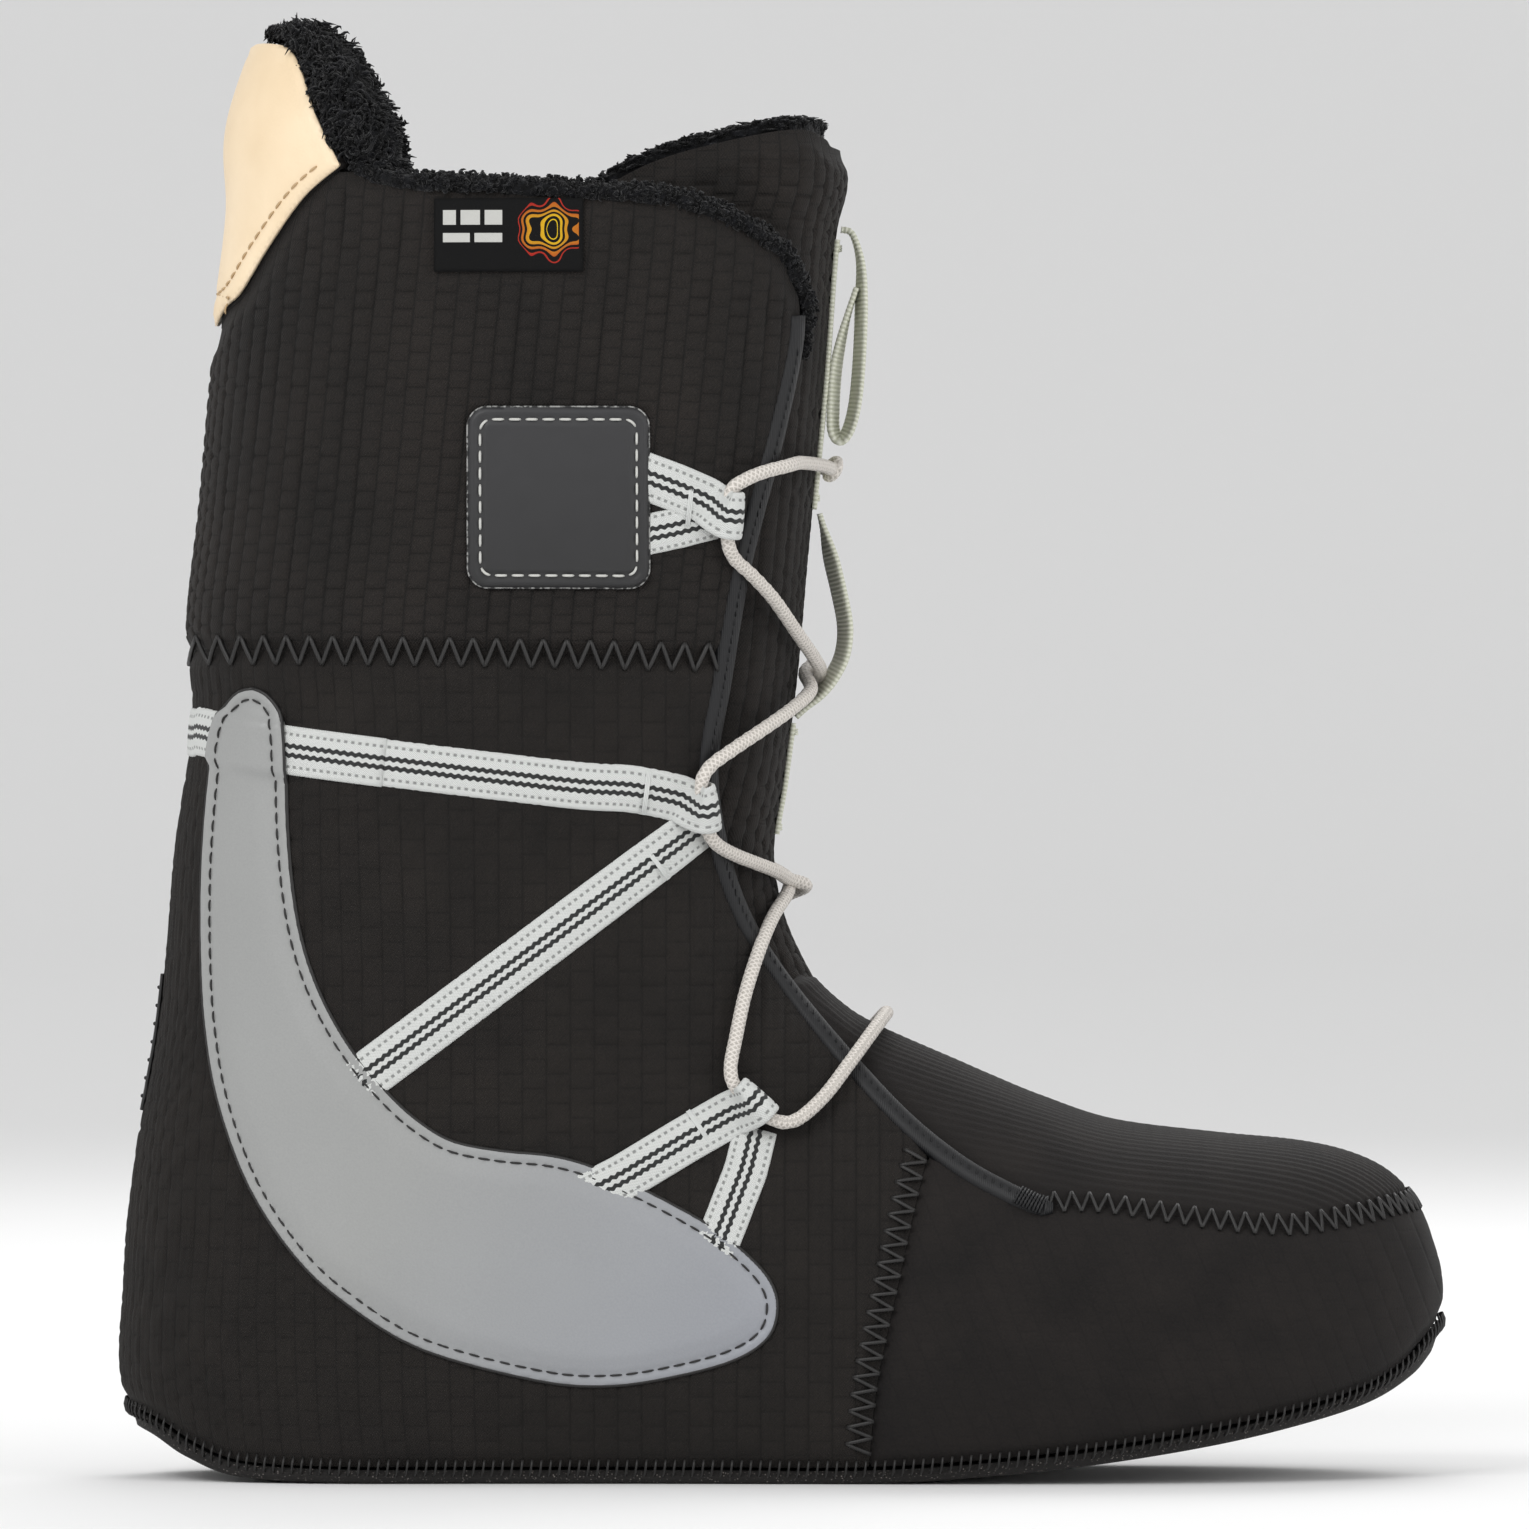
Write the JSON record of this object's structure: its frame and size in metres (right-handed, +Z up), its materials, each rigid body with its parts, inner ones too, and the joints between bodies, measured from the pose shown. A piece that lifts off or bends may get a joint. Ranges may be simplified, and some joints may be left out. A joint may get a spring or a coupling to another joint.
{
  "type": "snowboard boot liner",
  "caption": "Right inner boot of a snowboard boot: padded laced liner with tongue, webbing loops, heel pull tab and footbed.",
  "frame": {"origin": "on the flat of the sole, at mid length, in the plane of the leg's middle", "axes": "+X to the toe, -Y to the outer side of the foot, +Z up"},
  "size_m": [0.2896, 0.1111, 0.3208],
  "materials": {
    "waffle": "waffle-embossed matt laminate",
    "ribbed": "fine ribbed matt laminate",
    "smooth": "smooth brushed fabric",
    "stretch": "ribbed stretch fabric",
    "board": "dark speckled board",
    "footbed_foam": "foam with a cloth top",
    "counter": "stiff moulded sheet",
    "pad": "soft foam",
    "pile": "curly fleece pile",
    "leather": "smooth pale leather",
    "binding": "smooth folded tape",
    "patch": "grey coated microfibre",
    "rubber": "matt moulded rubber",
    "webbing": "white webbing with two dark stripes",
    "label": "woven label",
    "lace": "round woven lace",
    "tape": "ribbed grosgrain tape"
  },
  "bodies": {
    "root": {"sole_board": "board", "cuff_outer": "waffle", "cuff_inner": "waffle", "quarter_outer": "ribbed", "quarter_inner": "ribbed", "toe_box": "smooth", "vamp_top": "stretch", "heel_counter": "counter", "ankle_pad_outer": "pad", "ankle_pad_inner": "pad", "fleece_lining": "pile", "collar_fleece_outer": "pile", "collar_fleece_inner": "pile", "edge_binding_outer": "binding", "edge_binding_inner": "binding", "ankle_patch_outer": "patch", "ankle_patch_inner": "patch", "cuff_patch_outer": "rubber", "cuff_patch_inner": "rubber", "cuff_loop_outer": "webbing", "cuff_loop_inner": "webbing", "instep_strap_outer": "webbing", "instep_strap_inner": "webbing", "forefoot_loop_outer": "webbing", "forefoot_loop_inner": "webbing", "heel_strap": "webbing", "woven_label": "label", "heel_backstay": "rubber", "lace": "lace"},
    "tongue_body": {"tongue": "waffle", "tongue_fleece": "pile", "tape_strip_upper": "tape", "tape_strip_lower": "tape", "pull_tape": "tape", "lace_knot": "lace"},
    "pull_loop_body": {"pull_loop": "tape"},
    "heel_tab_body": {"heel_tab_foam": "smooth", "heel_pull_patch": "leather", "heel_fleece": "pile"},
    "footbed_body": {"footbed": "footbed_foam"}
  },
  "joints": [
    {"name": "tongue_tilt", "type": "hinge", "parent": "root", "child": "tongue_body", "pos_m": [0.014, 0, 0.104], "axis": [0, 1, 0], "range_deg": [0, 10], "deforming": ["lace"]},
    {"name": "pull_loop_swing", "type": "hinge", "parent": "tongue_body", "child": "pull_loop_body", "pos_m": [0.0124, 0, 0.2752], "axis": [0, -1, 0], "range_deg": [0, 100]},
    {"name": "heel_tab_flex", "type": "hinge", "parent": "root", "child": "heel_tab_body", "pos_m": [-0.1272, 0, 0.25], "axis": [0, -1, 0], "range_deg": [0, 20]},
    {"name": "footbed_lift", "type": "hinge", "parent": "root", "child": "footbed_body", "pos_m": [0.135, 0, 0.033], "axis": [0, 1, 0], "range_deg": [0, 8]}
  ]
}
